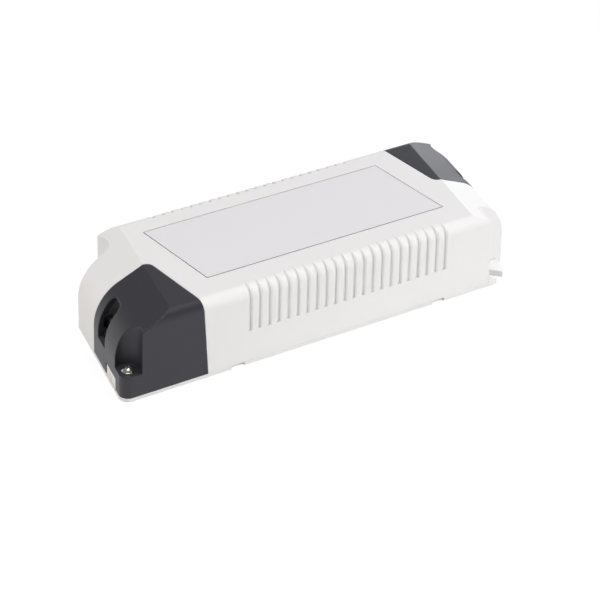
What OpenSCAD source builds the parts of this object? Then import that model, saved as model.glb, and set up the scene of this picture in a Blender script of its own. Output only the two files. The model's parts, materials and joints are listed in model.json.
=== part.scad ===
// Independent plastic-cased power supply with slanted, sloping ends and two dark terminal covers.
// The case is point symmetric: each end is the other one turned half round about the Z axis.
// Millimetres, origin on the underside in the middle, X along the case, Z up.

/* [Case] */
// Length on the centre line, from end face to end face
case_len = 190; // [180:0.2:230]
// Width over the side faces
case_w = 75.4; // [74:0.1:100]
// Height over the flat top
case_h = 33.2; // [32:0.1:42]
// Turn of both end faces away from square, seen from above
end_slant = 16.2; // [8:0.1:20]
// Thickness of the moulded walls
wall = 2.4; // [2:0.1:3]
// Radius of the long top edges
edge_r = 4.6; // [4:0.1:7]
// Radius of the two pointed vertical corners
corner_r = 3.6; // [3:0.1:5]

/* [Sloping ends] */
// Run of the slope on the centre line, from the crease to the end face
slope_run = 22.4; // [20:0.1:26]
// Fall of the slope below level, in degrees
slope_angle = 22.3; // [18:0.1:26]
// Radius that turns the slope down into the end face
nose_r = 17; // [14:0.5:18]

/* [Side grooves] */
// Number of grooves on each side
groove_count = 22; // [10:1:24]
// Spacing of the grooves
groove_pitch = 4.5; // [4:0.1:4.8]
// Width of one groove at the face of the side
groove_w = 2.5; // [2:0.1:2.8]
// Width of a groove's flat floor
groove_floor_w = 1.2; // [0.8:0.1:1.4]
// Depth of the grooves, measured square to the side
groove_depth = 0.85; // [0.7:0.05:1.2]
// Width of the shallow lips along a groove
groove_lip = 0.5; // [0.3:0.05:0.6]
// Shift of each row of grooves along its side, away from the middle
groove_shift = 0.6; // [0:0.05:1]
// Height of the lower groove ends above the underside
groove_foot = 14.4; // [12:0.2:18]
// Radius of the groove floors where they bend over the top edge
groove_bend_r = 5.2; // [4.6:0.1:6]
// Turn of the grooves over the top edge, in degrees
groove_turn = 80; // [40:1:80]

/* [Label] */
// Length of the label
label_len = 114.4; // [100:0.2:118]
// Width of the label
label_w = 46; // [40:0.5:50]
// Shift of the label towards the far side
label_shift = 1.4; // [0:0.1:2]
// Thickness of the label
label_t = 0.2; // [0.1:0.05:0.3]
// Depth of the recess that the label lies in
label_recess = 0.3; // [0.2:0.05:0.5]
// Gap round the label inside its recess
label_gap = 0.3; // [0.2:0.05:0.5]

/* [Terminal covers] */
// Run of a cover on the centre line, from its inner edge to the end face
cover_run = 25.6; // [24:0.1:30]
// Lean of a cover's inner edge, in degrees; its foot reaches further in than its top
cover_lean = 4; // [0:0.5:6]
// Distance that a cover passes the centre line
cover_past = 0.9; // [0:0.1:2]
// Radius of the cover's inner corner, seen from above
cover_corner_r = 3; // [2:0.5:4]
// Gap between a cover and the housing
cover_gap = 0.12; // [0.1:0.02:0.3]
// Width of the cable slot
slot_w = 9.4; // [8:0.1:10]
// Distance of the cable slot's middle from the centre line
slot_off = 9.6; // [9.5:0.1:10.4]
// Height of the slot's sill above the underside
slot_sill = 11.1; // [10:0.1:12]
// Height of the slot's head above the underside
slot_head = 27; // [24:0.2:28]
// Radius of the slot's upper corners
slot_r = 2.5; // [1:0.5:4]
// Distance of the low window's inner edge from the centre line
window_in = 15.6; // [15.4:0.1:17]
// Distance of the low window's outer edge from the centre line
window_out = 28.6; // [27:0.1:30]
// Height of the low window's head above the underside
window_head = 6.1; // [5:0.1:6.5]

/* [Cover screws] */
// Distance of a cover screw from the side face
screw_side = 4.5; // [4.3:0.1:6]
// Distance of a cover screw from the end face
screw_end = 4; // [3.8:0.1:5]
// Radius of the round pocket over a cover screw
pocket_r = 5.7; // [5:0.1:6.4]
// Height of the pocket's floor above the underside
pocket_floor = 10.6; // [9:0.1:12]
// Diameter of the screw head
head_d = 5.2; // [5:0.1:6]
// Height of the domed screw head
head_h = 2.1; // [1.8:0.1:2.6]
// Diameter of the screw's shank
shank_d = 3; // [2.6:0.1:3.2]
// Length of the screw under its head
shank_len = 8; // [6:0.5:8]

/* [Mounting ears] */
// Distance of the corner notch's end from the end face, along the side
notch_run = 13.7; // [12:0.1:15]
// Depth of the corner notch, in from the side face
notch_in = 14.3; // [13:0.1:17]
// Radius of the notch's inner corner
notch_r = 8; // [3:0.5:9]
// Thickness of the mounting ear
ear_t = 2.5; // [2:0.1:3]
// Radius of the ear's outer corner
ear_r = 13; // [10:0.5:14]
// Distance that the ear stays back from the end face
ear_back = 2.5; // [1:0.5:3]
// Width of the open mounting slot
ear_slot_w = 6; // [4.4:0.1:6.4]
// Distance of the slot's round end from the side face
ear_slot_in = 6.1; // [6:0.1:8]
// Distance of the slot's round end from the notch's end
ear_slot_from = 3.7; // [3.5:0.1:6]
// Direction of the slot's mouth, in degrees from the X axis
ear_slot_turn = 48; // [40:1:60]

/* [Base tray] */
// Thickness of the base's floor
floor_t = 2.5; // [2:0.1:3]
// Thickness of the rim that the housing stands on
rim_t = 1.4; // [1:0.1:1.8]
// Clearance round what stands inside the walls
base_gap = 0.2; // [0.15:0.05:0.4]
// Width of the pry notches in the rim
pry_w = 6; // [4:0.5:8]
// Depth of the pry notches
pry_d = 1.4; // [1:0.1:2]
// Places of the two pry notches along the near side
pry_x = [-53.3, 44.3]; // [-60:0.1:60]

/* [Circuit board] */
// Thickness of the board
board_t = 1.6; // [1:0.1:2]
// Height of the board's underside above the underside of the case
board_z = 6.6; // [6:0.2:8]

/* [Hidden] */
$fn = 64;

white = [0.93, 0.93, 0.92];
charcoal = [0.24, 0.24, 0.26];
steel = [0.75, 0.75, 0.77];
aluminium = [0.8, 0.81, 0.82];
ferrite = [0.2, 0.2, 0.21];
copper = [0.75, 0.42, 0.2];
amber = [0.85, 0.65, 0.2];

half_w = case_w / 2;
round_slack = 0.01;
far = case_len;
slant_cos = cos(end_slant);
slant_sin = sin(end_slant);
slant_tan = tan(end_slant);
end_u = case_len / 2 * slant_cos;
crease_u = (case_len / 2 - slope_run) * slant_cos;
nose_u = end_u - nose_r;
nose_z = case_h - (nose_r + (end_u - crease_u - nose_r) * sin(slope_angle)) / cos(slope_angle);
cover_x = case_len / 2 - cover_run;
screw_y = half_w - screw_side;
screw_x = end_x(screw_y) - screw_end;
notch_x = end_x(-half_w) - notch_run;
notch_y = half_w - notch_in;
ear_slot_x = notch_x + ear_slot_from;
ear_slot_y = half_w - ear_slot_in;
groove_span = (groove_count - 1) * groove_pitch;
board_top = board_z + board_t;
lip_t = 1.4;
lip_h = 4.5;
lip_y = half_w - wall - base_gap - lip_t;
snap_w = 8;
snap_depth = 0.8;
snap_h = 2;
snap_x = [-40, 0, 40];
groove_lip_h = 0.3;
bulkhead = 2;
bulkhead_foot = floor_t + 0.3;
bulkhead_in = cover_gap + bulkhead;
thread_gap = 0.05;
coil_gap = 0.15;
boss_r = 3;
post_r = 3.2;
small_shank = 2.2;
small_head = 4.6;
board_half_len = cover_x - (case_h - bulkhead_foot) * tan(cover_lean) - bulkhead_in - 0.6;
board_half_w = half_w - wall - base_gap - lip_t - 1;
block_x = cover_x + 3.4;
block_depth = 12;
block_h = 14;
pole_w = 7.6;
tongue_end = block_x + block_depth + 0.4;
tongue_in = 4;
tongue_out = board_half_w - 0.7;
tongue_mid = (tongue_in + tongue_out) / 2;
board_posts = [[-board_half_len + 6, board_half_w - 5], [board_half_len - 6, board_half_w - 12],
    [-board_half_len + 6, -board_half_w + 12], [board_half_len - 6, -board_half_w + 5]];
clamp_back = 6.8;
clamp_x = case_len / 2 - clamp_back;
clamp_post_r = 2.6;
clamp_post_z = 12.5;
clamp_bar = 6;
clamp_reach = 7.8;
cable_r = 3.6;
arch_t = 1.8;
fuse_at = [-50, -board_half_w + 5.2];
varistor_at = [-55, -12];
filter_capacitor_at = [-42, -board_half_w + 1.2];
filter_choke_at = [-44, 0];
rectifier_at = [-46, 22];
bulk_at = [[-14, board_half_w - 8.7], [4, board_half_w - 8.7]];
transistor_x = [-10, 6];
transistor_y = -board_half_w + 5.7;
core_len = 35;
core_w = 29;
core_h = 12;
leg_w = 5;
core_mid_w = 10;
safety_at = [24, 24];
optocoupler_at = [24, -board_half_w + 4.7];
control_at = [-24, 0];
output_diode_at = [40, board_half_w - 5.7];
output_choke_at = [44, -board_half_w + 7.3];
output_x = board_half_len - 6.5;
output_y = [-14, -2, 10];
output_r = 5;
transformer_at = [min(34, output_x - output_r - 1 - core_len / 2), -2];
sheet_t = 1.8;
heatsink_gap = 0.8;
sheet_h = case_h - wall - board_top - sheet_t - heatsink_gap;
flange = 6;

// X of the right-hand end face at a place across the width
function end_x(y) = case_len / 2 + slant_tan * y;

// Place along the left end face that lies y from the centre line
function along_end(y) = (y - end_u * slant_sin) / slant_cos;

// Repeats its children turned half round about the Z axis
module both_ends() {
    children();
    rotate([0, 0, 180]) children();
}

// Frame of the left end face: X points into the case, Y runs along the face
module at_left_end(y) {
    rotate([0, 0, -end_slant]) translate([-end_u, along_end(y), 0]) children();
}

// Outline across the case, with rounded top edges
module cross_outline(inset) {
    top = case_h - inset;
    side = half_w - inset;
    r = edge_r - inset;
    translate([-side, -1]) square([2 * side, top - r + 1]);
    translate([-side + r, 0]) square([2 * (side - r), top]);
    for (s = [-1, 1]) translate([s * (side - r), top - r]) circle(r);
}

// Outline along the case, square to the slanted ends, with the slope and the nose
module end_outline(inset) {
    top = case_h - inset;
    u_end = end_u - inset;
    u_crease = crease_u - inset * tan(slope_angle / 2);
    r = nose_r - inset;
    u_touch = nose_u + r * sin(slope_angle);
    z_touch = nose_z + r * cos(slope_angle);
    intersection() {
        translate([-u_end, -1]) square([2 * u_end, top + 1]);
        union() {
            polygon([[-u_end, -1], [u_end, -1], [u_end, nose_z], [u_touch, z_touch], [u_crease, top],
                [-u_crease, top], [-u_touch, z_touch], [-u_end, nose_z]]);
            for (s = [-1, 1]) translate([s * nose_u, nose_z]) circle(r + round_slack, $fn = 96);
        }
    }
}

// Ground that ends only at the two pointed corners, in rounds that run into the sides and the ends
module corner_ground(inset) {
    side = half_w - inset;
    reach = case_len / 2 - inset / slant_cos;
    r = max(corner_r - inset, 0.6);
    bisector = (90 - end_slant) / 2;
    touch_x = reach + slant_tan * side - r / tan(bisector);
    depth = touch_x * cos(bisector) + side * sin(bisector);
    rotate(bisector) square([2 * depth, 2 * far], center = true);
    for (s = [-1, 1]) translate([s * touch_x, s * (side - r)]) circle(r + round_slack);
}

// Outline from above: a slanted oblong whose two pointed corners are rounded
module plan_outline(inset) {
    intersection() {
        square([2 * far, case_w - 2 * inset], center = true);
        rotate(-end_slant) square([2 * (end_u - inset), 2 * far], center = true);
        corner_ground(inset);
    }
}

// The whole outer form of the case, or that form with its skin taken off
module envelope(inset) {
    intersection() {
        rotate([90, 0, 90]) linear_extrude(2 * far, center = true) cross_outline(inset);
        rotate([0, 0, -end_slant]) rotate([90, 0, 0]) linear_extrude(2 * far, center = true)
            end_outline(inset);
        translate([0, 0, -1]) linear_extrude(case_h + 2) corner_ground(inset);
    }
}

// Ground that the left terminal cover takes up, grown by a margin
module cover_ground(margin) {
    x = -cover_x + margin;
    y = cover_past + margin;
    r = cover_corner_r + margin;
    translate([-far, -far]) square([far + x - r, far + y]);
    translate([-far, -far]) square([far + x, far + y - r]);
    translate([x - r, y - r]) circle(r);
}

// Space of the left terminal cover from one height up, its inner faces leaning
module cover_space(margin, z) {
    intersection() {
        translate([-cover_x, 0, case_h]) rotate([0, -cover_lean, 0]) translate([cover_x, 0, -2 * case_h])
            linear_extrude(4 * case_h) cover_ground(margin);
        translate([-far, -far, z]) cube([2 * far, 2 * far, 3 * case_h]);
    }
}

// Ground of the notch over the right-hand mounting ear, grown by a margin
module notch_ground(margin) {
    x = notch_x - margin;
    y = -notch_y + margin;
    r = notch_r + margin;
    translate([x + r, y - far]) square([far, far]);
    translate([x, y - far]) square([far, far - r]);
    translate([x + r, y - r]) circle(r);
}

// Prism over a ground outline, from one height up
module over(z, height = 100) {
    translate([0, 0, z]) linear_extrude(height) children();
}

// Section of a groove, from the middle of its floor outwards: steep walls, then shallow lips
module groove_section() {
    floor_w = groove_floor_w / 2;
    lip_w = groove_w / 2 - groove_lip;
    wall_h = groove_depth - groove_lip_h;
    open_h = groove_depth + 2 * groove_lip_h;
    open_w = groove_w / 2 + 2 * groove_lip;
    polygon([[-floor_w, 0], [floor_w, 0], [lip_w, wall_h], [open_w, open_h],
        [-open_w, open_h], [-lip_w, wall_h]]);
}

// One groove: straight up the side, then over the top edge, where it fades out
module side_groove() {
    straight = case_h - groove_bend_r - groove_foot;
    translate([0, half_w - groove_depth, groove_foot]) linear_extrude(straight) groove_section();
    translate([0, half_w - groove_depth - groove_bend_r, case_h - groove_bend_r]) rotate([90, 0, 90])
        rotate_extrude(angle = groove_turn) translate([groove_bend_r, 0]) rotate(-90) groove_section();
}

module side_grooves() {
    for (i = [0 : groove_count - 1])
        translate([i * groove_pitch - groove_span / 2 + groove_shift, 0, 0]) side_groove();
}

// Snap hooks on the base, or with a gap the pockets that take them
module side_snaps(gap) {
    for (x = snap_x) {
        translate([x - snap_w / 2 - gap, lip_y + lip_t, floor_t + lip_h - snap_h - gap])
            rotate([90, 0, 90]) linear_extrude(snap_w + 2 * gap)
                polygon([[-0.4, 0], [snap_depth + gap, 0], [snap_depth + gap, 0.5 + gap],
                    [0, snap_h + 2 * gap], [-0.4, snap_h + 2 * gap]]);
    }
}

module board_outline(grow = 0) {
    square([2 * (board_half_len + grow), 2 * (board_half_w + grow)], center = true);
    for (s = [0, 180]) rotate(s) {
        translate([-tongue_end - grow, -tongue_out - grow])
            square([tongue_end - board_half_len + 1 + grow, tongue_out - tongue_in + 2 * grow]);
    }
}

// Room inside the housing, clear of both bulkheads and both notches
module housing_room() {
    difference() {
        envelope(wall);
        both_ends() cover_space(bulkhead_in, bulkhead_foot);
        both_ends() over(-2) notch_ground(wall);
    }
}

module upper_housing() {
    color(white) difference() {
        envelope(0);
        translate([-far, -far, -2]) cube([2 * far, 2 * far, rim_t + 2]);
        housing_room();
        both_ends() cover_space(cover_gap, -2);
        both_ends() over(-2) notch_ground(0);
        both_ends() side_grooves();
        both_ends() side_snaps(base_gap);
        over(floor_t - 3, board_top + 4.5 - floor_t) board_outline(0.6);
        translate([0, label_shift, case_h - label_recess / 2 + 0.5])
            cube([label_len + 2 * label_gap, label_w + 2 * label_gap, label_recess + 1], center = true);
    }
}

module top_label() {
    color([0.88, 0.87, 0.91]) translate([0, label_shift, case_h - label_recess + label_t / 2])
        cube([label_len, label_w, label_t], center = true);
}

// Cable slot cut through the end wall and the slope above it
module cable_slot() {
    height = slot_head - slot_sill;
    translate([-far, -slot_off - slot_w / 2, slot_sill]) rotate([90, 0, 90])
        linear_extrude(far - case_len / 2 + 2 * nose_r) {
            square([slot_w, height - slot_r]);
            translate([slot_r, 0]) square([slot_w - 2 * slot_r, height]);
            for (x = [slot_r, slot_w - slot_r]) translate([x, height - slot_r]) circle(slot_r);
        }
}

// Low window in the end wall, where the base's tab shows
module low_window() {
    mid = (window_in + window_out) / 2;
    width = (window_out - window_in) / slant_cos;
    at_left_end(-mid) translate([-5, -width / 2, -1])
        cube([5 + wall + 2, width, window_head + 1]);
}

module terminal_cover() {
    color(charcoal) difference() {
        intersection() {
            union() {
                difference() {
                    envelope(0);
                    envelope(wall);
                }
                intersection() {
                    envelope(0);
                    translate([-screw_x, -screw_y, pocket_floor - wall])
                        cylinder(h = case_h, r = pocket_r + wall);
                }
            }
            cover_space(0, rim_t);
        }
        translate([-screw_x, -screw_y, pocket_floor]) cylinder(h = case_h, r = pocket_r);
        translate([-screw_x, -screw_y, 0]) cylinder(h = case_h, d = shank_d + 0.5);
        cable_slot();
        low_window();
    }
}

module left_terminal_cover() {
    terminal_cover();
}

module right_terminal_cover() {
    rotate([0, 0, 180]) terminal_cover();
}

// Pan-head screw with a cross recess, its head seated at z = 0
module pan_screw(d_head, h_head, d_shank, len) {
    dome = (d_head * d_head / 4 + h_head * h_head) / (2 * h_head);
    rim_h = h_head * 0.28;
    difference() {
        intersection() {
            translate([0, 0, h_head - dome]) sphere(dome);
            cylinder(h = h_head, d = d_head);
        }
        for (a = [0, 90]) rotate([0, 0, a + 45])
            translate([-d_head * 0.27, -d_head * 0.065, h_head * 0.42])
                cube([d_head * 0.54, d_head * 0.13, h_head]);
    }
    cylinder(h = rim_h, d = d_head);
    translate([0, 0, -len + d_shank / 2]) cylinder(h = len - d_shank / 2, d = d_shank);
    translate([0, 0, -len]) cylinder(h = d_shank / 2, d1 = d_shank * 0.4, d2 = d_shank);
}

module cover_screws() {
    color(steel) both_ends() translate([-screw_x, -screw_y, pocket_floor])
        pan_screw(head_d, head_h, shank_d, shank_len);
}

// Outline of the right-hand mounting ear, before its slot is cut, with a gap along the notch's walls
module ear_outline(gap) {
    u_ear = end_u - ear_back;
    c_y = -half_w + ear_r;
    c_x = (u_ear - ear_r + c_y * slant_sin) / slant_cos;
    intersection() {
        union() {
            translate([c_x, c_y]) circle(ear_r);
            translate([c_x - far, -half_w]) square([far, case_w]);
            rotate(-end_slant) translate([u_ear - far, c_x * slant_sin + c_y * slant_cos]) square([far, far]);
        }
        notch_ground(-gap);
    }
}

module ear_slot() {
    translate([ear_slot_x, -ear_slot_y]) {
        circle(ear_slot_w / 2 + round_slack);
        rotate(-ear_slot_turn) translate([0, -ear_slot_w / 2]) square([far, ear_slot_w]);
    }
}

module base_tray() {
    post_h = board_z - floor_t;
    lip_len = 2 * board_half_len;
    mid = (window_in + window_out) / 2;
    tab_w = (window_out - window_in) / slant_cos - 2 * base_gap;
    color(white) difference() {
        union() {
            difference() {
                over(0, rim_t) plan_outline(0);
                both_ends() over(-1, 10) notch_ground(0);
            }
            difference() {
                over(rim_t / 2, floor_t - rim_t / 2) plan_outline(wall + base_gap);
                both_ends() over(-1, 10) notch_ground(wall + base_gap);
            }
            both_ends() {
                over(0, rim_t) ear_outline(-1);
                over(rim_t, ear_t - rim_t) ear_outline(base_gap);
            }
            both_ends() translate([-lip_len / 2, lip_y, floor_t - 0.5]) cube([lip_len, lip_t, lip_h + 0.5]);
            both_ends() side_snaps(0);
            for (p = board_posts) translate([p[0], p[1], floor_t - 0.5])
                cylinder(h = post_h + 0.5, r = post_r);
            both_ends() {
                over(floor_t - 0.5, pocket_floor - wall - floor_t + 0.4) intersection() {
                    plan_outline(wall + base_gap);
                    translate([-screw_x, -screw_y]) circle(boss_r);
                }
                for (s = [-1, 1])
                    translate([-clamp_x, -slot_off + s * clamp_reach, floor_t - 0.5])
                        cylinder(h = clamp_post_z - floor_t + 0.5, r = clamp_post_r);
                at_left_end(-mid) translate([0.3, -tab_w / 2, rim_t - 0.5])
                    cube([wall - 0.3, tab_w, window_head - base_gap - rim_t + 0.5]);
            }
        }
        for (p = board_posts) translate([p[0], p[1], floor_t])
            cylinder(h = 20, d = small_shank + 2 * thread_gap);
        both_ends() {
            translate([-screw_x, -screw_y, rim_t]) cylinder(h = 20, d = shank_d + 2 * thread_gap);
            for (s = [-1, 1]) translate([-clamp_x, -slot_off + s * clamp_reach, floor_t + 1])
                cylinder(h = 20, d = small_shank + 2 * thread_gap);
            over(-1, 10) ear_slot();
            for (x = pry_x) translate([x - pry_w / 2, -half_w - 1, -1])
                cube([pry_w, pry_d + 1, rim_t + 2]);
        }
    }
}

module circuit_board() {
    color([0.16, 0.4, 0.2]) difference() {
        over(board_z, board_t) board_outline();
        for (p = board_posts) translate([p[0], p[1], board_z - 1]) cylinder(h = board_t + 2, r = 1.5);
    }
}

module board_screws() {
    color(steel) for (p = board_posts) translate([p[0], p[1], board_top])
        pan_screw(small_head, 1.6, small_shank, 5);
}

// Screw terminal block with a row of poles; wires enter from the left
module terminal_block(poles, tint) {
    width = poles * pole_w;
    color(tint) translate([-block_x - block_depth, -tongue_mid - width / 2, board_top])
        difference() {
            rotate([90, 0, 0]) translate([0, 0, -width]) linear_extrude(width)
                polygon([[0, 0], [block_depth, 0], [block_depth, block_h - 4], [block_depth - 3, block_h],
                    [2, block_h], [0, block_h - 3]]);
            for (i = [0 : poles - 1]) translate([0, (i + 0.5) * pole_w, 0]) {
                translate([block_depth / 2, 0, 4]) cylinder(h = block_h, d = 4.4);
                translate([-1, -2, 2.4]) cube([block_depth / 2 + 1, 4, 4.4]);
            }
        }
}

module input_terminal_block() {
    terminal_block(3, [0.9, 0.9, 0.88]);
}

module output_terminal_block() {
    rotate([0, 0, 180]) terminal_block(2, [0.3, 0.3, 0.32]);
}

// Clamping screws of a terminal block, each standing in its own well
module block_screws(poles) {
    width = poles * pole_w;
    for (i = [0 : poles - 1])
        translate([-block_x - block_depth / 2, -tongue_mid - width / 2 + (i + 0.5) * pole_w, board_top + 4])
            difference() {
                cylinder(h = 7, d = 4);
                translate([-2.5, -0.4, 5.8]) cube([5, 0.8, 3]);
            }
}

module terminal_screws() {
    color(steel) {
        block_screws(3);
        rotate([0, 0, 180]) block_screws(2);
    }
}

// Saddle that holds the cable's sheath down on two posts
module cable_clamp() {
    length = 2 * (clamp_reach + clamp_post_r);
    translate([-clamp_x - clamp_bar / 2, -slot_off, clamp_post_z]) difference() {
        union() {
            translate([0, -length / 2, 0]) cube([clamp_bar, length, 2.4]);
            rotate([0, 90, 0]) cylinder(h = clamp_bar, r = cable_r + arch_t);
        }
        translate([-1, 0, 0]) rotate([0, 90, 0]) cylinder(h = clamp_bar + 2, r = cable_r);
        translate([-1, -length, -20]) cube([clamp_bar + 2, 2 * length, 20]);
        for (s = [-1, 1]) translate([clamp_bar / 2, s * clamp_reach, -1]) cylinder(h = 5, r = 1.6);
    }
}

module cable_clamps() {
    color([0.9, 0.9, 0.9]) both_ends() cable_clamp();
}

module cable_clamp_screws() {
    color(steel) both_ends() for (s = [-1, 1])
        translate([-clamp_x, -slot_off + s * clamp_reach, clamp_post_z + 2.4])
            pan_screw(small_head, 1.6, small_shank, 9);
}

module fuse() {
    color([0.5, 0.28, 0.16]) translate([fuse_at[0], fuse_at[1], board_top]) {
        translate([0, 0, 1]) cylinder(h = 8, r = 4.2);
        for (s = [-1, 1]) translate([s * 2.5, 0, 0]) cylinder(h = 1.5, r = 0.4);
    }
}

// Disc component standing on two wire legs
module disc_part(r, t) {
    translate([0, t / 2, r + 2.5]) rotate([90, 0, 0]) cylinder(h = t, r = r);
    for (s = [-1, 1]) translate([s * r * 0.5, 0, 0]) cylinder(h = r + 1, r = 0.4);
}

module surge_varistor() {
    color([0.2, 0.35, 0.65]) translate([varistor_at[0], varistor_at[1], board_top]) disc_part(5.5, 4.2);
}

module suppression_capacitor() {
    color(amber) translate([filter_capacitor_at[0], filter_capacitor_at[1], board_top]) cube([18, 9, 15]);
}

// Ring core standing on edge across the board, and the coils wound round it
module ring_core(r_mid, w, h) {
    rotate_extrude() translate([r_mid - w / 2, -h / 2]) square([w, h]);
}

module ring_coil(r_mid, w, h, t, start, sweep) {
    rotate([0, 0, start]) rotate_extrude(angle = sweep) difference() {
        translate([r_mid - w / 2 - t, -h / 2 - t]) square([w + 2 * t, h + 2 * t]);
        translate([r_mid - w / 2 - coil_gap, -h / 2 - coil_gap]) square([w + 2 * coil_gap, h + 2 * coil_gap]);
    }
}

module filter_choke_place() {
    translate([filter_choke_at[0], filter_choke_at[1], board_top + 10.2]) rotate([90, 0, 90]) children();
}

module filter_choke_core() {
    color([0.25, 0.45, 0.3]) filter_choke_place() ring_core(7, 4, 7);
}

module filter_choke_windings() {
    color(copper) filter_choke_place() {
        ring_coil(7, 4, 7, 1.2, -60, 120);
        ring_coil(7, 4, 7, 1.2, 120, 120);
    }
}

module bridge_rectifier() {
    color([0.15, 0.15, 0.16]) translate([rectifier_at[0], rectifier_at[1], board_top]) {
        translate([0, 0, 2.5]) cube([19, 3.6, 14]);
        for (i = [0 : 3]) translate([2 + i * 5, 1.8, 0]) cylinder(h = 3, r = 0.5);
    }
}

module bulk_capacitors() {
    color([0.15, 0.17, 0.3]) for (p = bulk_at) translate([p[0], p[1], board_top]) {
        difference() {
            cylinder(h = 21, r = 8);
            translate([0, 0, 20.6]) for (a = [0, 90]) rotate([0, 0, a])
                translate([-5, -0.3, 0]) cube([10, 0.6, 1]);
            translate([0, 0, 18]) rotate_extrude() translate([8.4, 0]) circle(0.7);
        }
    }
}

// Power package with its metal tab and three legs, standing with its tab at y = 0
module tab_package() {
    translate([-5, -4.6, 4]) cube([10, 3.3, 9]);
    difference() {
        translate([-5, -1.3, 4]) cube([10, 1.3, 15.5]);
        translate([0, 1, 16.5]) rotate([90, 0, 0]) cylinder(h = 4, r = 1.8);
    }
    for (i = [-1 : 1]) translate([i * 2.5 - 0.4, -2.6, 0]) cube([0.8, 0.6, 4.2]);
}

module power_transistors() {
    color([0.15, 0.15, 0.16]) for (x = transistor_x)
        translate([x, transistor_y, board_top]) tab_package();
}

// Heatsink of bent sheet with its outer face at y = 0 and a top flange over the packages' other side
module heatsink(length) {
    cube([length, sheet_t, sheet_h]);
    translate([0, 0, sheet_h]) cube([length, flange, sheet_t]);
}

module transistor_heatsink() {
    color(aluminium) translate([transistor_x[0] - 8, transistor_y, board_top]) heatsink(32);
}

module transformer_place() {
    translate([transformer_at[0], transformer_at[1], board_top + 2]) children();
}

module transformer_core() {
    color(ferrite) transformer_place() difference() {
        translate([-core_len / 2, -core_w / 2, 4]) cube([core_len, core_w, core_h]);
        for (s = [-1, 1]) translate([-core_len / 2 + leg_w, s > 0 ? core_mid_w / 2 : -core_w / 2 + leg_w, 3])
            cube([core_len - 2 * leg_w, core_w / 2 - leg_w - core_mid_w / 2, core_h + 2]);
    }
}

module bobbin_tube(grow, len) {
    h = core_h + 2 * grow;
    translate([-len / 2, -core_mid_w / 2 - grow, 4 - grow]) cube([len, core_mid_w + 2 * grow, h]);
}

module transformer_bobbin() {
    inner = 0.1;
    run = core_len - 2 * leg_w - 0.4;
    color([0.2, 0.2, 0.22]) transformer_place() difference() {
        union() {
            bobbin_tube(1, run);
            for (s = [-1, 1]) translate([s * (run / 2 - 0.5) - 0.5, -core_w / 2 + leg_w + 0.2, 0])
                cube([1, core_w - 2 * leg_w - 0.4, core_h + 7]);
            for (s = [-1, 1]) translate([s * (run / 2 + 1.5) - 2.5, -core_w / 2 + 3, -2])
                cube([5, core_w - 6, 4]);
        }
        bobbin_tube(inner, core_len);
    }
}

module transformer_winding() {
    run = core_len - 2 * leg_w - 3;
    color(copper) transformer_place() difference() {
        bobbin_tube(3.2, run);
        bobbin_tube(1.1, run + 2);
    }
}

module safety_capacitor() {
    color([0.25, 0.45, 0.75]) translate([safety_at[0], safety_at[1], board_top]) disc_part(4.2, 3.6);
}

// Small chip on two rows of legs
module chip(length, width) {
    translate([-length / 2, -width / 2, 0.8]) cube([length, width, 3.2]);
    for (s = [-1, 1]) for (x = [-length / 2 + 1.2 : 2.54 : length / 2 - 0.6])
        translate([x - 0.25, s * (width / 2 + 0.2) - 0.2, 0]) cube([0.5, 0.4, 2.6]);
}

module optocoupler() {
    color([0.9, 0.9, 0.88]) translate([optocoupler_at[0], optocoupler_at[1], board_top]) chip(4.6, 6.4);
}

module control_chip() {
    color([0.15, 0.15, 0.16]) translate([control_at[0], control_at[1], board_top]) chip(9.6, 6.4);
}

module output_diode() {
    color([0.15, 0.15, 0.16]) translate([output_diode_at[0], output_diode_at[1], board_top])
        rotate([0, 0, 180]) tab_package();
}

module output_heatsink() {
    color(aluminium) translate([output_diode_at[0] + 10, output_diode_at[1], board_top])
        rotate([0, 0, 180]) heatsink(18);
}

module output_choke_place() {
    translate([output_choke_at[0], output_choke_at[1], board_top + 4]) children();
}

module output_choke_core() {
    color([0.75, 0.7, 0.25]) output_choke_place() ring_core(4.9, 2.6, 6);
}

module output_choke_winding() {
    color(copper) output_choke_place() ring_coil(4.9, 2.6, 6, 0.9, 20, 320);
}

module output_capacitors() {
    color([0.12, 0.3, 0.2]) for (y = output_y)
        translate([output_x, y, board_top]) difference() {
            cylinder(h = 20, r = output_r);
            translate([0, 0, 19.7]) for (a = [0, 90]) rotate([0, 0, a]) translate([-3, -0.25, 0])
                cube([6, 0.5, 1]);
            translate([0, 0, 17.5]) rotate_extrude() translate([output_r + 0.3, 0]) circle(0.5);
        }
}

base_tray();
upper_housing();
left_terminal_cover();
right_terminal_cover();
cover_screws();
top_label();
circuit_board();
board_screws();
input_terminal_block();
output_terminal_block();
terminal_screws();
cable_clamps();
cable_clamp_screws();
fuse();
surge_varistor();
suppression_capacitor();
filter_choke_core();
filter_choke_windings();
bridge_rectifier();
bulk_capacitors();
power_transistors();
transistor_heatsink();
transformer_core();
transformer_bobbin();
transformer_winding();
safety_capacitor();
optocoupler();
control_chip();
output_diode();
output_heatsink();
output_choke_core();
output_choke_winding();
output_capacitors();
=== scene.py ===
# %% [markdown]
# A plastic-cased power supply, finished and lit.
# The construction model brings every piece at its real size: a white housing on a white base tray,
# two dark terminal covers, their screws, a plain label, and the circuit inside. This lesson gives
# each piece its finish, sets up the photograph's camera, and lights the case the way a catalogue
# picture does. No mesh of the construction model is changed: what a hand could feel is already
# there, and the grain, colour and gloss on it are made here.

# %% Load the construction model
import json
import math

import bpy
from mathutils import Matrix, Quaternion, Vector


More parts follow.
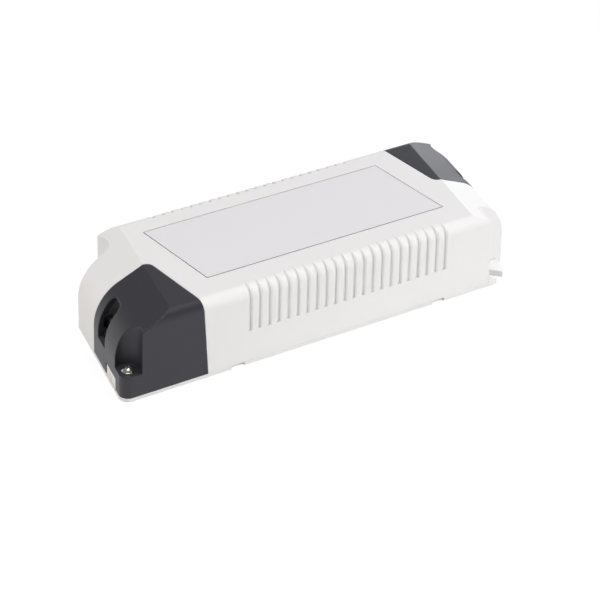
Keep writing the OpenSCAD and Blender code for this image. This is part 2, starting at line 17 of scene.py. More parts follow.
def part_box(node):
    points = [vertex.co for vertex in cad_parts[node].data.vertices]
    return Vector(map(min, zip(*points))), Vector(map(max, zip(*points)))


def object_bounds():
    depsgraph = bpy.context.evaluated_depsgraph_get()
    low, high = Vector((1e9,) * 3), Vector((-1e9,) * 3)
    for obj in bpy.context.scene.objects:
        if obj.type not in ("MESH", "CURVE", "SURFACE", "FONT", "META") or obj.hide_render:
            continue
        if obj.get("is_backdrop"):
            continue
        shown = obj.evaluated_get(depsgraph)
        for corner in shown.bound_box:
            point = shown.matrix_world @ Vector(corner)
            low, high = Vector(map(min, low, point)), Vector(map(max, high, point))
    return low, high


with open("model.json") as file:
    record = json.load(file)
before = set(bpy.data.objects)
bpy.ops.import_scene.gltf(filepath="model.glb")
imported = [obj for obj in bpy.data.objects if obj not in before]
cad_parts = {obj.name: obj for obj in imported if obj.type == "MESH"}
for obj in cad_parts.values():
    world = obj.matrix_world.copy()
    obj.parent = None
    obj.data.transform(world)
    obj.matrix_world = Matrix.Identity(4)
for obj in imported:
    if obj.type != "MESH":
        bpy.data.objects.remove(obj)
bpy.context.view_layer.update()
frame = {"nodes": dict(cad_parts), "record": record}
nodes = frame["nodes"]
MM = 0.001
print("pieces:", len(nodes))

# %% [markdown]
# The camera comes first, because every later choice is judged through it.
# A product picture like this one is taken with a long lens from far away, so the far end looks
# nearly as wide as the near end. A 165 mm lens on a 36 mm sensor at 1.12 m gives that flat
# perspective. The camera could be placed by three coordinates and three angles, but its turn round
# the case and its height angle are easier to think about, so a short helper makes a place of them.
# It aims at a point just under the case, which sets the case a little above the middle of the
# picture, and it is tipped by one and a half degrees, as a hand-set tripod is.

# %% Camera
CAMERA_TURN = math.radians(35.739)
CAMERA_RISE = math.radians(28.060)
CAMERA_ROLL = math.radians(1.471)
CAMERA_DISTANCE = 1.1180
CAMERA_AIM = Vector((1.04, -2.25, -2.26)) * MM
LENS_MM = 165.0
SENSOR_MM = 36.0
CLIP_START = 0.01


def on_sphere(turn, rise, distance):
    """A place round the case: turn goes from straight in front to the left, rise is the height."""
    flat = distance * math.cos(rise)
    return Vector((-flat * math.sin(turn), -flat * math.cos(turn), distance * math.sin(rise)))


def make_camera():
    data = bpy.data.cameras.new("camera")
    data.lens = LENS_MM
    data.sensor_width = SENSOR_MM
    data.clip_start = CLIP_START
    camera = bpy.data.objects.new("camera", data)
    place = on_sphere(CAMERA_TURN, CAMERA_RISE, CAMERA_DISTANCE)
    level = (CAMERA_AIM - place).to_track_quat("-Z", "Y")
    tip = Quaternion((0, 0, 1), CAMERA_ROLL)
    camera.matrix_world = Matrix.Translation(place) @ (level @ tip).to_matrix().to_4x4()
    bpy.context.scene.collection.objects.link(camera)
    bpy.context.scene.camera = camera
    return camera


camera = make_camera()
print("camera at", [round(v, 4) for v in camera.location], "lens", LENS_MM, "mm")

# %% [markdown]
# A material is a small network of nodes, and the same few lines wire every network up.
# The nodes could be made and linked one by one each time, which hides what a finish is made of.
# These helpers add a node and set its plain values by name, so each recipe below reads as a list.
# A value that is the same all over a surface is set on the shader itself.

# %% Helpers for node networks
FLOAT = "NodeSocketFloat"
COLOR = "NodeSocketColor"
VECTOR = "NodeSocketVector"


def add(tree, kind, **values):
    """Adds a node. A value named like a socket, with _ for a space, sets that socket, and any
    other value sets the node's own setting."""
    node = tree.nodes.new(kind)
    for name, value in values.items():
        label = name.replace("_", " ")
        if label in node.inputs:
            node.inputs[label].default_value = value
        else:
            setattr(node, name, value)
    return node


def math_node(tree, operation, first, second=None):
    """A Math node fed by sockets or plain numbers; gives back its output socket."""
    node = add(tree, "ShaderNodeMath", operation=operation)
    for place, source in enumerate((first, second)):
        if source is None:
            continue
        if isinstance(source, (int, float)):
            node.inputs[place].default_value = source
        else:
            tree.links.new(source, node.inputs[place])
    return node.outputs["Value"]


def new_group(name, inputs, outputs):
    """An empty shader node group. Each socket is a name, a kind and, for an input, a default."""
    group = bpy.data.node_groups.new(name, "ShaderNodeTree")
    for title, kind, default in inputs:
        socket = group.interface.new_socket(name=title, in_out="INPUT", socket_type=kind)
        socket.default_value = default
    for title, kind in outputs:
        group.interface.new_socket(name=title, in_out="OUTPUT", socket_type=kind)
    return group, add(group, "NodeGroupInput"), add(group, "NodeGroupOutput")


print("helpers:", [helper.__name__ for helper in (add, math_node, new_group)])

# %% [markdown]
# Moulded plastic is never quite smooth. The steel mould is spark-eroded to a fine, even grain,
# about a fifth of a millimetre across and less than a hundredth deep, which breaks the gloss up
# into a satin sheen. One noise would do from afar, but two, the second twice as fine, look like
# real grain from nearby too and show no repeat. The group puts out a height for a Bump node, and a
# roughness that varies with the grain, because the tops of the grain get polished in use.

# %% Effect: moulded grain
NOISE_MIDDLE = 0.5       # the value that a noise swings round
FINE_GRAIN_RATIO = 2.1   # how much finer the second noise is
FINE_GRAIN_SHARE = 0.4   # how much height it adds
POLISH_PER_METRE = 60.0  # the slow change of gloss over a face
GRAIN_IN_GLOSS = 0.5     # how far the gloss follows the grain itself


def make_moulded_grain():
    group, source, result = new_group(
        "moulded_grain",
        [("Grain per metre", FLOAT, 5000.0), ("Base roughness", FLOAT, 0.4),
         ("Roughness spread", FLOAT, 0.08)],
        [("Height", FLOAT), ("Roughness", FLOAT)])
    link = group.links.new
    place = add(group, "ShaderNodeTexCoord")
    coarse = add(group, "ShaderNodeTexNoise", Detail=2.0, Roughness=0.6)
    fine = add(group, "ShaderNodeTexNoise", Detail=1.0, Roughness=0.5)
    broad = add(group, "ShaderNodeTexNoise", Scale=POLISH_PER_METRE, Detail=3.0)
    for noise in (coarse, fine, broad):
        link(place.outputs["Object"], noise.inputs["Vector"])
    per_metre = source.outputs["Grain per metre"]
    link(per_metre, coarse.inputs["Scale"])
    link(math_node(group, "MULTIPLY", per_metre, FINE_GRAIN_RATIO), fine.inputs["Scale"])
    finer = math_node(group, "MULTIPLY", fine.outputs["Fac"], FINE_GRAIN_SHARE)
    link(math_node(group, "ADD", coarse.outputs["Fac"], finer), result.inputs["Height"])
    slow = math_node(group, "SUBTRACT", broad.outputs["Fac"], NOISE_MIDDLE)
    quick = math_node(group, "MULTIPLY", coarse.outputs["Fac"], GRAIN_IN_GLOSS)
    swing = math_node(group, "ADD", slow, quick)
    swing = math_node(group, "MULTIPLY", swing, source.outputs["Roughness spread"])
    roughness = math_node(group, "ADD", swing, source.outputs["Base roughness"])
    link(roughness, result.inputs["Roughness"])
    return group


moulded_grain = make_moulded_grain()
print("group:", moulded_grain.name)

# %% [markdown]
# A moulded part has no perfectly sharp edge: even a crisp one is broken by a small radius, which
# catches a thin line of light. Such a radius could be cut into the mesh, but the construction
# model stays as it is, so the Bevel node rounds only the shading of each edge. The group passes the
# softened normal on to each material's Bump node. The radius differs: 0.3 mm on most plastic,
# 0.8 mm on the dark covers, whose edges look rounder, and less on the label and on cut metal.

# %% Effect: softened edges
PLASTIC_EDGE_MM = 0.3
BEVEL_SAMPLES = 6


def make_soft_edge():
    group, source, result = new_group(
        "soft_edge", [("Radius", FLOAT, PLASTIC_EDGE_MM * MM)], [("Normal", VECTOR)])
    bevel = add(group, "ShaderNodeBevel", samples=BEVEL_SAMPLES)
    group.links.new(source.outputs["Radius"], bevel.inputs["Radius"])
    group.links.new(bevel.outputs["Normal"], result.inputs["Normal"])
    return group


soft_edge = make_soft_edge()
print("group:", soft_edge.name, "radius on plastic in mm:", PLASTIC_EDGE_MM)

# %% [markdown]
# Pigment is mixed into plastic pellets and paint flows, so no real colour is perfectly even. A
# single flat colour would be simpler, and it would look drawn. A slow noise that shifts the
# brightness by a percent or two is invisible as a pattern, yet it takes the flat look away.
# The same group serves every finish, each with its own amount and size of drift.

# %% Effect: tone drift
DRIFT_GAIN = 2.0  # a noise swings by half a unit each way, and this makes it a whole one
PLASTIC_DRIFT = 0.015
PLASTIC_DRIFT_PER_METRE = 25.0


def make_tone_drift():
    group, source, result = new_group(
        "tone_drift",
        [("Color", COLOR, (0.8, 0.8, 0.8, 1.0)), ("Amount", FLOAT, PLASTIC_DRIFT),
         ("Drift per metre", FLOAT, PLASTIC_DRIFT_PER_METRE)],
        [("Color", COLOR)])
    link = group.links.new
    place = add(group, "ShaderNodeTexCoord")
    noise = add(group, "ShaderNodeTexNoise", Detail=4.0, Roughness=0.55)
    link(place.outputs["Object"], noise.inputs["Vector"])
    link(source.outputs["Drift per metre"], noise.inputs["Scale"])
    swing = math_node(group, "SUBTRACT", noise.outputs["Fac"], NOISE_MIDDLE)
    swing = math_node(group, "MULTIPLY", swing, source.outputs["Amount"])
    factor = math_node(group, "ADD", math_node(group, "MULTIPLY", swing, DRIFT_GAIN), 1.0)
    scaled = add(group, "ShaderNodeVectorMath", operation="SCALE")
    link(source.outputs["Color"], scaled.inputs[0])
    link(factor, scaled.inputs["Scale"])
    link(scaled.outputs["Vector"], result.inputs["Color"])
    return group


tone_drift = make_tone_drift()
print("group:", tone_drift.name, "amount on plastic:", PLASTIC_DRIFT)

# %% [markdown]
# Metal carries the marks of the tool that shaped it. Rolled sheet has fine lines all in one
# direction, and a plated screw has faint scuffs from the driver and the plating drum. Anisotropic
# gloss could stand for the lines, but it shows no line up close. Stretching a noise along one axis
# turns it into lines, and the group lets each metal choose how long they are along X, Y and Z.

# %% Effect: tool marks
MARKS_IN_GLOSS = 0.25  # how far the gloss follows the marks


def make_tool_marks():
    group, source, result = new_group(
        "tool_marks",
        [("Stretch", VECTOR, (1.0, 1.0, 1.0)), ("Marks per metre", FLOAT, 4000.0),
         ("Base roughness", FLOAT, 0.3)],
        [("Height", FLOAT), ("Roughness", FLOAT)])
    link = group.links.new
    place = add(group, "ShaderNodeTexCoord")
    stretch = add(group, "ShaderNodeVectorMath", operation="MULTIPLY")
    link(place.outputs["Object"], stretch.inputs[0])
    link(source.outputs["Stretch"], stretch.inputs[1])
    lines = add(group, "ShaderNodeTexNoise", Detail=3.0, Roughness=0.65)
    link(stretch.outputs["Vector"], lines.inputs["Vector"])
    link(source.outputs["Marks per metre"], lines.inputs["Scale"])
    link(lines.outputs["Fac"], result.inputs["Height"])
    swing = math_node(group, "SUBTRACT", lines.outputs["Fac"], NOISE_MIDDLE)
    swing = math_node(group, "MULTIPLY", swing, MARKS_IN_GLOSS)
    roughness = math_node(group, "ADD", swing, source.outputs["Base roughness"])
    link(roughness, result.inputs["Roughness"])
    return group


tool_marks = make_tool_marks()
print("group:", tool_marks.name)

# %% [markdown]
# Every finish is built on the same start: a Principled shader whose colour drifts slightly, and
# whose normal comes from a Bump over softened edges. The depth of the bump is the real depth of the
# grain or the marks, in metres, because a guessed strength would look right at one distance only.
# These four helpers make that start, so that a finish adds only what is its own.

# %% Start of every material
def empty_material(name):
    """A material with nothing but its output node."""
    material = bpy.data.materials.new(name)
    material.use_nodes = True
    tree = material.node_tree
    tree.nodes.clear()
    return material, tree, add(tree, "ShaderNodeOutputMaterial")


def start_material(name, **values):
    """A material with a Principled shader; values set the shader's own sockets."""
    material, tree, output = empty_material(name)
    shader = add(tree, "ShaderNodeBsdfPrincipled", **values)
    tree.links.new(shader.outputs["BSDF"], output.inputs["Surface"])
    return material, tree, shader


def place_group(tree, group, **values):
    """A copy of a node group in a material, with its own values."""
    node = add(tree, "ShaderNodeGroup", node_tree=group)
    for name, value in values.items():
        node.inputs[name.replace("_", " ")].default_value = value
    return node


def bumped_normal(tree, shader, height, depth_mm, edge_mm):
    """Bump of a real depth over edges softened by a real radius."""
    rounded = place_group(tree, soft_edge, Radius=edge_mm * MM)
    bump = add(tree, "ShaderNodeBump", Strength=1.0, Distance=depth_mm * MM)
    tree.links.new(height, bump.inputs["Height"])
    tree.links.new(rounded.outputs["Normal"], bump.inputs["Normal"])
    tree.links.new(bump.outputs["Normal"], shader.inputs["Normal"])


print("helpers:", [helper.__name__ for helper in (empty_material, start_material, place_group,
                                                  bumped_normal)])

# %% [markdown]
# Nearly every piece is either a moulded plastic or a metal. Writing each network out would repeat
# the same dozen lines for each finish, so two short makers, one for plastics and one for metals,
# place the groups with their own values. Their defaults are the usual values, and a call names
# only what differs.

# %% Makers for plastics and metals
METAL_DRIFT = 0.04
METAL_DRIFT_PER_METRE = 300.0
METAL_DEPTH_MM = 0.004
METAL_EDGE_MM = 0.12


def drifting_color(tree, color, amount, per_metre):
    drift = place_group(
        tree, tone_drift, Color=(*color, 1.0), Amount=amount, Drift_per_metre=per_metre)
    return drift.outputs["Color"]


def plastic(name, color, roughness, grain_mm=0.2, depth_mm=0.006, edge_mm=PLASTIC_EDGE_MM,
            drift=PLASTIC_DRIFT):
    material, tree, shader = start_material(name)
    tone = drifting_color(tree, color, drift, PLASTIC_DRIFT_PER_METRE)
    tree.links.new(tone, shader.inputs["Base Color"])
    grain = place_group(
        tree, moulded_grain, Grain_per_metre=1 / (grain_mm * MM), Base_roughness=roughness)
    tree.links.new(grain.outputs["Roughness"], shader.inputs["Roughness"])
    bumped_normal(tree, shader, grain.outputs["Height"], depth_mm, edge_mm)
    return material


def metal(name, color, roughness, stretch=(1, 1, 1)):
    material, tree, shader = start_material(name, Metallic=1.0)
    tone = drifting_color(tree, color, METAL_DRIFT, METAL_DRIFT_PER_METRE)
    tree.links.new(tone, shader.inputs["Base Color"])
    marks = place_group(tree, tool_marks, Stretch=stretch, Base_roughness=roughness)
    tree.links.new(marks.outputs["Roughness"], shader.inputs["Roughness"])
    bumped_normal(tree, shader, marks.outputs["Height"], METAL_DEPTH_MM, METAL_EDGE_MM)
    return material


print("makers:", plastic.__name__, metal.__name__)

# %% [markdown]
# The case plastics are what the picture is about. The housing and the base are a nearly neutral
# white with a satin spark-eroded face. The covers are a charcoal of the same plastic with a touch
# of blue. A real charcoal looks paler than its pigment where it mirrors the bright room at a low
# angle. That could be painted in as a paler colour, which would be wrong from every other side, so
# the colour is kept dark and the gloss does the rest.

# %% Finishes: case plastics
white_plastic = plastic("white_plastic", color=(0.858, 0.851, 0.856), roughness=0.48)
charcoal_plastic = plastic("charcoal_plastic", color=(0.0275, 0.0277, 0.0365), roughness=0.45,
                           edge_mm=0.8, drift=0.03)
print("case plastics:", white_plastic.name, charcoal_plastic.name)

# %% [markdown]
# The label is a thin pale film, set into a recess of the top. Film is smoother than the moulded
# plastic and a shade cooler, with a faint orange-peel from the glue under it, which a broad,
# shallow grain gives. Its cut edge and the gap round it are thinner than a pixel, yet the gap's
# shadow shows as a dark hairline all round, wider along the two sides where the film lies further
# from its recess. That hairline is painted shade in the film's colour. A separate frame of four
# thin strips could show that line and would flicker at this size. A mask made from the distance to
# the label's own outline paints it exactly where the piece ends.

# %% Finish: label film
# Painted shade: the width on each side and the colour of the dark band that stands for the gap's
# shadow.
LABEL_GAP_SHADE_MM = {"left": 0.235, "right": 0.045, "near": 0.29, "far": 0.145}
LABEL_GAP_SHADE_COLOR = (0.16, 0.155, 0.165, 1.0)
label_low, label_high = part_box("top_label")


def axes(tree, coordinate="Object"):
    """The X, Y and Z of a place, by name."""
    place = add(tree, "ShaderNodeTexCoord")
    apart = add(tree, "ShaderNodeSeparateXYZ")
    tree.links.new(place.outputs[coordinate], apart.inputs["Vector"])
    return apart.outputs


def inside_label_gap_shade(tree, low, high):
    """1 on the label's face and 0 on the band of painted shade along its edge, for the gap's
    shadow.
    """
    place = axes(tree)
    limits = [("X", "GREATER_THAN", low[0] + LABEL_GAP_SHADE_MM["left"] * MM),
              ("X", "LESS_THAN", high[0] - LABEL_GAP_SHADE_MM["right"] * MM),
              ("Y", "GREATER_THAN", low[1] + LABEL_GAP_SHADE_MM["near"] * MM),
              ("Y", "LESS_THAN", high[1] - LABEL_GAP_SHADE_MM["far"] * MM)]
    mask = 1.0
    for axis, test, limit in limits:
        mask = math_node(tree, "MULTIPLY", math_node(tree, test, place[axis], limit), mask)
    return mask


def make_label_film():
    material = plastic("label_film", color=(0.835, 0.82, 0.845), roughness=0.34, grain_mm=1.6,
                       depth_mm=0.01, edge_mm=0.08, drift=0.006)
    tree = material.node_tree
    shader = next(node for node in tree.nodes if node.type == "BSDF_PRINCIPLED")
    face = shader.inputs["Base Color"].links[0].from_socket
    # The edge band is painted shade: the gap's shadow mixed into the film's colour.
    line = add(tree, "ShaderNodeMix", data_type="RGBA")
    line.inputs["A"].default_value = LABEL_GAP_SHADE_COLOR
    tree.links.new(inside_label_gap_shade(tree, label_low, label_high), line.inputs["Factor"])
    tree.links.new(face, line.inputs["B"])
    tree.links.new(line.outputs["Result"], shader.inputs["Base Color"])
    return material


label_film = make_label_film()
print("label in mm:", [round((high - low) / MM, 2) for low, high in zip(label_low, label_high)],
      "edge line:", LABEL_GAP_SHADE_MM)

# %% [markdown]
# The two cover screws are zinc-plated steel, bright with fine scuffs in every direction. The
# screws inside could be zinc too, but they get a darker, duller copy of the steel: its darker
# colour is painted shade, because bright heads behind the cable slots would catch the eye where the
# real slots are dark. The heatsinks are rolled aluminium, with long lines along the sheet, so their
# noise is stretched along X.

# %% Finishes: metals
zinc_steel = metal("zinc_steel", color=(0.74, 0.70, 0.67), roughness=0.2)
# Painted shade: a darker copy of the screw steel, for the screws inside the dark slots.
shade_darkened_steel = metal("shade_darkened_steel", color=(0.42, 0.42, 0.43), roughness=0.5)
rolled_aluminium = metal("rolled_aluminium", color=(0.76, 0.77, 0.78), roughness=0.34,
                         stretch=(0.04, 1, 1))
print("metals:", zinc_steel.name, shade_darkened_steel.name, rolled_aluminium.name)

# %% [markdown]
# The pieces inside are ordinary electronic parts. Moulded packages and terminal blocks are
# plastics with their own colours and finer grain, ferrite is a sintered ceramic with a dusty face,
# and the disc parts are dipped in a glossy lacquer. Each could have a network of its own, but they
# are small and stand in the dark, so the plastic maker with other values is all that they need.

# %% Finishes: moulded and dipped parts
pale_plastic = plastic("pale_plastic", color=(0.74, 0.74, 0.71), roughness=0.38, grain_mm=0.12,
                       edge_mm=0.15)
dark_plastic = plastic("dark_plastic", color=(0.030, 0.030, 0.032), roughness=0.46, grain_mm=0.1,
                       depth_mm=0.004, edge_mm=0.12)
brown_plastic = plastic("brown_plastic", color=(0.15, 0.065, 0.03), roughness=0.36, grain_mm=0.15,
                        edge_mm=0.2)
blue_lacquer = plastic("blue_lacquer", color=(0.03, 0.10, 0.32), roughness=0.22, grain_mm=0.7,
                       depth_mm=0.02, edge_mm=0.9)
amber_film = plastic("amber_film", color=(0.66, 0.40, 0.06), roughness=0.3, grain_mm=0.5,
                     depth_mm=0.01, edge_mm=0.6)
ferrite = plastic("ferrite", color=(0.055, 0.055, 0.06), roughness=0.62, grain_mm=0.08,
                  depth_mm=0.01, edge_mm=0.25, drift=0.08)
print("inside:", [finish.name for finish in (pale_plastic, dark_plastic, brown_plastic,
                                             blue_lacquer, amber_film, ferrite)])

# %% [markdown]
# A winding is one long enamelled wire laid turn beside turn. Modelling each turn would take many
# thousands of faces for pieces that stay in the dark, so the solid coil is given its turns by a
# wave in the Bump instead: a sine of the angle round a ring core, or of the length along the
# transformer. The group turns any running measure into round wires and a mask of the gaps between
# them, where the shade that falls between round wires is painted into the colour.

# %% Effect: wire turns
# Where the wave is this low, the gap between turns gets painted shade.
WIRE_SHADE_BELOW = 0.18  # height of the wave, from 0 to 1, under which a gap is dark


def make_wire_turns():
    group, source, result = new_group(
        "wire_turns",
        [("Run", FLOAT, 0.0), ("Turns per unit", FLOAT, 10.0)],
        [("Height", FLOAT), ("Gap", FLOAT)])
    link = group.links.new
    turns = math_node(group, "MULTIPLY", source.outputs["Run"], source.outputs["Turns per unit"])
    half_waves = math_node(group, "SINE", math_node(group, "MULTIPLY", turns, math.pi))
    wave = math_node(group, "ABSOLUTE", half_waves)
    link(math_node(group, "SQRT", wave), result.inputs["Height"])
    link(math_node(group, "LESS_THAN", wave, WIRE_SHADE_BELOW), result.inputs["Gap"])
    return group


wire_turns = make_wire_turns()
print("group:", wire_turns.name)

# %% [markdown]
# The three windings differ mainly in what their turns run along. On a ring core, lying flat or
# standing up, the turns are spread by angle round its own middle, which is taken from the piece's
# box, so they stay right if the core moves. The transformer's turns go along X under a layer of
# polyester tape. One maker takes that running measure as a function, which is shorter than three
# networks that differ in a few nodes.

# %% Finishes: windings
COPPER = (0.62, 0.26, 0.10)
TAPE = (0.72, 0.52, 0.10)
# Painted shade: the colour that the gaps between turns are multiplied by, for the shade between
# round wires.
WIRE_GAP_SHADE_COLOR = (0.35, 0.3, 0.28, 1.0)
WIRE_DRIFT = 0.05
WIRE_DRIFT_PER_METRE = 400.0
WIRE_EDGE_MM = 0.3
TURNS_PER_RADIAN = 9.0
TAPE_TURNS_PER_METRE = 140.0


def wound(name, color, roughness, run_of, per_unit, depth_mm):
    material, tree, shader = start_material(
        name, Coat_Weight=0.35, Coat_Roughness=0.12, Roughness=roughness)
    turns = place_group(tree, wire_turns, Turns_per_unit=per_unit)
    tree.links.new(run_of(tree, axes(tree)), turns.inputs["Run"])
    # The gaps between turns get painted shade.
    shaded = add(tree, "ShaderNodeMix", data_type="RGBA", blend_type="MULTIPLY")
    shaded.inputs["B"].default_value = WIRE_GAP_SHADE_COLOR
    tree.links.new(turns.outputs["Gap"], shaded.inputs["Factor"])
    tone = drifting_color(tree, color, WIRE_DRIFT, WIRE_DRIFT_PER_METRE)
    tree.links.new(tone, shaded.inputs["A"])
    tree.links.new(shaded.outputs["Result"], shader.inputs["Base Color"])
    bumped_normal(tree, shader, turns.outputs["Height"], depth_mm, WIRE_EDGE_MM)
    return material


def angle_round(node, first, second):
    """Angle round the middle of a node's box, in the plane of two axes."""
    middle = {axis: (low + high) / 2 for axis, low, high in zip("XYZ", *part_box(node))}

    def run(tree, place):
        across = math_node(tree, "SUBTRACT", place[first], middle[first])
        up = math_node(tree, "SUBTRACT", place[second], middle[second])
        return math_node(tree, "ARCTAN2", up, across)

    return run


def along_x(tree, place):
    return place["X"]


windings = {
    "filter_choke_windings": wound(
        "choke_wire", COPPER, roughness=0.3, run_of=angle_round("filter_choke_core", "Y", "Z"),
        per_unit=TURNS_PER_RADIAN, depth_mm=0.25),
    "output_choke_winding": wound(
        "output_wire", COPPER, roughness=0.3, run_of=angle_round("output_choke_core", "X", "Y"),
        per_unit=TURNS_PER_RADIAN, depth_mm=0.25),
    "transformer_winding": wound(
        "winding_tape", TAPE, roughness=0.25, run_of=along_x,
        per_unit=TAPE_TURNS_PER_METRE, depth_mm=0.12)}
print("windings:", sorted(windings))

# %% [markdown]
# A circuit board is glass cloth under a green lacquer. Copper tracks lie beneath the lacquer and
# show as slightly raised, lighter paths. Real tracks could be drawn one by one, for a face that is
# seen only through a cable slot. A Brick texture with uneven cells gives blocks and channels like a
# power board's broad copper areas, and it drives both the colour and a shallow bump.

# %% Finish: circuit board
BOARD_COLORS = {"Color1": (0.022, 0.150, 0.050, 1.0), "Color2": (0.028, 0.175, 0.062, 1.0),
                "Mortar": (0.014, 0.085, 0.034, 1.0)}
TRACK_MM = 0.035
BOARD_EDGE_MM = 0.1


def make_board():
    material, tree, shader = start_material(
        "board_lacquer", Coat_Weight=0.3, Coat_Roughness=0.15, Roughness=0.4)
    place = add(tree, "ShaderNodeTexCoord")
    areas = add(tree, "ShaderNodeTexBrick", Scale=90.0, Mortar_Size=0.035, Mortar_Smooth=0.1,
                Brick_Width=1.1, Row_Height=0.45, offset=0.37, squash=0.6, squash_frequency=3,
                **BOARD_COLORS)
    tree.links.new(place.outputs["Object"], areas.inputs["Vector"])
    tree.links.new(areas.outputs["Color"], shader.inputs["Base Color"])
    copper = math_node(tree, "SUBTRACT", 1.0, areas.outputs["Fac"])
    bumped_normal(tree, shader, copper, TRACK_MM, BOARD_EDGE_MM)
    return material


board_lacquer = make_board()
print("board:", board_lacquer.name)

# %% [markdown]
# With the finishes made, each construction piece gets its own. That could be one line for each of
# the pieces, but the record says which material slot a piece belongs to, so one table from slot to
# finish covers nearly all of them. The windings, which need their own turns, and the screws inside
# are set by name. The meshes are left exactly as they came.

# %% Give every piece its finish
slot_of = {part["node"]: part["material_slot"] for part in frame["record"]["subparts"]}
finish_of = {
    "white": white_plastic, "charcoal": charcoal_plastic, "steel": zinc_steel,
    "label": label_film, "board": board_lacquer, "pale_plastic": pale_plastic,
    "dark_plastic": dark_plastic, "brown_plastic": brown_plastic, "blue_coating": blue_lacquer,
    "amber_plastic": amber_film, "ferrite": ferrite, "aluminium": rolled_aluminium}

own_finish = dict(windings)
# The screws inside get the darker steel, painted shade for the dark slots.
for name in ("board_screws", "terminal_screws", "cable_clamp_screws"):
    own_finish[name] = shade_darkened_steel

for name, piece in nodes.items():
    material = own_finish.get(name) or finish_of[slot_of[name]]
    piece.data.materials.clear()
    piece.data.materials.append(material)
print("finished pieces:", len(nodes), "of them by name:", len(own_finish))

# %% [markdown]
# The case stands on a plain pale floor, and the photograph's background is pure white. Pouring
# light on the scene until the floor turns white would burn the white case out as well. So the floor
# itself is white to the rays that show a background, from the camera, off gloss and through glass:
# for them it mostly glows at strength 1. A small diffuse share takes the case's soft shadow, and
# the glow gives up just as much as that share sends back where nothing shades it. The share fades
# out away from the case, so that the far floor meets the white room without a grey horizon.

# %% What shows of the floor
SHADOW_SHARE = 0.16
SHADOW_REACH = (0.2, 0.8)  # metres from the case's middle where the share starts to fade, and ends
OPEN_FLOOR_LIGHT = 0.8     # how bright the lamps make a white floor where nothing shades it


def seen_directly(tree):
    """1 for the rays that show the background: from the camera, off gloss and through glass."""
    path = add(tree, "ShaderNodeLightPath")
    seen = math_node(
        tree, "MAXIMUM", path.outputs["Is Camera Ray"], path.outputs["Is Glossy Ray"])
    return math_node(tree, "MAXIMUM", seen, path.outputs["Is Transmission Ray"])


def fading_share(tree):
    """The diffuse share: whole near the case, and nothing beyond the shadow's reach."""
    place = add(tree, "ShaderNodeTexCoord")
    far = add(tree, "ShaderNodeVectorMath", operation="LENGTH")
    tree.links.new(place.outputs["Object"], far.inputs[0])
    fade = add(tree, "ShaderNodeMapRange", interpolation_type="SMOOTHSTEP",
               From_Min=SHADOW_REACH[0], From_Max=SHADOW_REACH[1],
               To_Min=SHADOW_SHARE, To_Max=0.0)
    tree.links.new(far.outputs["Value"], fade.inputs["Value"])
    return fade.outputs["Result"]


def glowing_floor(tree):
    """The shader of a white floor that still takes a shadow."""
    link = tree.links.new
    share = fading_share(tree)
    shadow = add(tree, "ShaderNodeBsdfDiffuse")
    link(share, shadow.inputs["Color"])
    glow = add(tree, "ShaderNodeEmission")
    sent_back = math_node(tree, "MULTIPLY", share, OPEN_FLOOR_LIGHT)
    link(math_node(tree, "SUBTRACT", 1.0, sent_back), glow.inputs["Strength"])
    both = add(tree, "ShaderNodeAddShader")
    link(shadow.outputs[0], both.inputs[0])
    link(glow.outputs[0], both.inputs[1])
    return both.outputs[0]


print("floor's diffuse share:", SHADOW_SHARE, "fading from", SHADOW_REACH[0], "to",
      SHADOW_REACH[1], "m")

# %% [markdown]
# For all other rays the floor is ordinary pale paper, which bounces light up under the sloping
# ends. A floor that glowed for them as well would light the case from below and wipe out the
# shading of its sides. The sheet is one large face, since a flat floor needs no more, and it is
# marked as the stage, because it isn't part of the object.

# %% Floor
FLOOR_SIZE = 12.0
FLOOR_TONE = (0.82, 0.82, 0.82, 1.0)


def make_floor_paper():
    material, tree, output = empty_material("floor_paper")
    bounce = add(tree, "ShaderNodeBsdfDiffuse", Color=FLOOR_TONE)
    choice = add(tree, "ShaderNodeMixShader")
    tree.links.new(seen_directly(tree), choice.inputs[0])
    tree.links.new(bounce.outputs[0], choice.inputs[1])
    tree.links.new(glowing_floor(tree), choice.inputs[2])
    tree.links.new(choice.outputs[0], output.inputs["Surface"])
    return material


def make_floor():
    mesh = bpy.data.meshes.new("floor")
    half = FLOOR_SIZE / 2
    corners = [(-half, -half, 0), (half, -half, 0), (half, half, 0), (-half, half, 0)]
    mesh.from_pydata(corners, [], [(0, 1, 2, 3)])
    mesh.materials.append(make_floor_paper())
    floor = bpy.data.objects.new("floor", mesh)
    floor.location.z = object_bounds()[0][2]
    bpy.context.scene.collection.objects.link(floor)
    floor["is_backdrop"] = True
    return floor


floor = make_floor()
print("floor at z =", round(floor.location.z, 5))

# %% [markdown]
# A white case needs soft light from several sides. One strong lamp would burn its edges out while
# its shaded faces turned grey, so four soft lamps share the work. The key stands low at the right
# front and lights the long side without piling light on the rounded top edge. The top lamp hangs
# overhead, for the flat top and both slopes. The fill is low, warm and weaker, for the shaded left
# end. The back lamp stands low behind the right end, where the dark cover's slope mirrors it. The
# key and the fill have polarising filters, as in a studio, which take their glare off flat gloss,
# or the top would go blank when it is looked at from the other side: in Blender that is the lamp's
# own glossy visibility.

# %% Lamps
LAMP_DISTANCE = 1.3
LAMPS = {
    "key": dict(turn=-46.0, rise=16.0, size=0.55, power=8.5, color=(1.0, 0.99, 0.98)),
    "top": dict(turn=0.0, rise=88.0, size=0.9, power=9.6, color=(1.0, 1.0, 1.0)),
    "fill": dict(turn=80.0, rise=20.0, size=0.7, power=5.0, color=(1.0, 0.93, 0.86)),
    "back": dict(turn=-131.0, rise=8.0, size=0.34, power=1.2, color=(0.95, 0.975, 1.0))}
WITHOUT_GLARE = ("key", "fill")


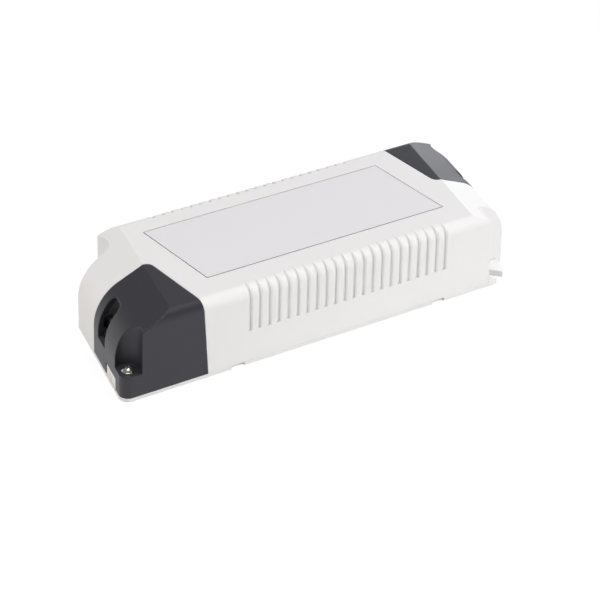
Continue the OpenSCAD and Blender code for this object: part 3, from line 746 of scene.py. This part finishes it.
def make_lamp(name, turn, rise, size, power, color):
    data = bpy.data.lights.new(name, "AREA")
    data.shape = "DISK"
    data.size = size
    data.energy = power
    data.color = color
    lamp = bpy.data.objects.new(name, data)
    place = on_sphere(math.radians(turn), math.radians(rise), LAMP_DISTANCE)
    towards_case = (-place).to_track_quat("-Z", "Y")
    lamp.matrix_world = Matrix.Translation(place) @ towards_case.to_matrix().to_4x4()
    lamp.visible_glossy = name not in WITHOUT_GLARE
    bpy.context.scene.collection.objects.link(lamp)
    return lamp


lamps = [make_lamp(name, **values) for name, values in LAMPS.items()]
print("lamps:", [lamp.name for lamp in lamps], "without glare:", WITHOUT_GLARE)

# %% [markdown]
# The room round the lamps adds a fifth of white light from everywhere. An evenly white room would
# hide every shape of a white case, and a black one would leave its undercuts without detail. The
# camera, gloss and glass see the room as a studio is: a white paper wall near the horizon, under a
# dim ceiling that keeps the dark covers' flat tops from paling. The wall's upper end is set by the
# sine of the height angle, which is the Z of the direction in which a ray leaves.

# %% Room
ROOM_LIGHT = 0.21
WALL_TOP = (0.14, 0.26)  # sine of the height angle where the wall starts to end, and where it ends


def make_room():
    world = bpy.data.worlds.new("room")
    world.use_nodes = True
    tree = world.node_tree
    tree.nodes.clear()
    wall = add(tree, "ShaderNodeMapRange", interpolation_type="SMOOTHSTEP",
               From_Min=WALL_TOP[0], From_Max=WALL_TOP[1], To_Min=1.0, To_Max=0.0)
    tree.links.new(axes(tree, "Generated")["Z"], wall.inputs["Value"])
    white = math_node(tree, "MULTIPLY", seen_directly(tree), wall.outputs["Result"])
    strength = add(tree, "ShaderNodeMix", data_type="FLOAT")
    strength.inputs["A"].default_value = ROOM_LIGHT
    strength.inputs["B"].default_value = 1.0
    tree.links.new(white, strength.inputs["Factor"])
    room = add(tree, "ShaderNodeBackground", Color=(1.0, 1.0, 1.0, 1.0))
    tree.links.new(strength.outputs["Result"], room.inputs["Strength"])
    output = add(tree, "ShaderNodeOutputWorld")
    tree.links.new(room.outputs["Background"], output.inputs["Surface"])
    bpy.context.scene.world = world


make_room()
bpy.context.scene.view_settings.view_transform = "Standard"
print("room:", bpy.context.scene.world.name, "light:", ROOM_LIGHT, "view:",
      bpy.context.scene.view_settings.view_transform)
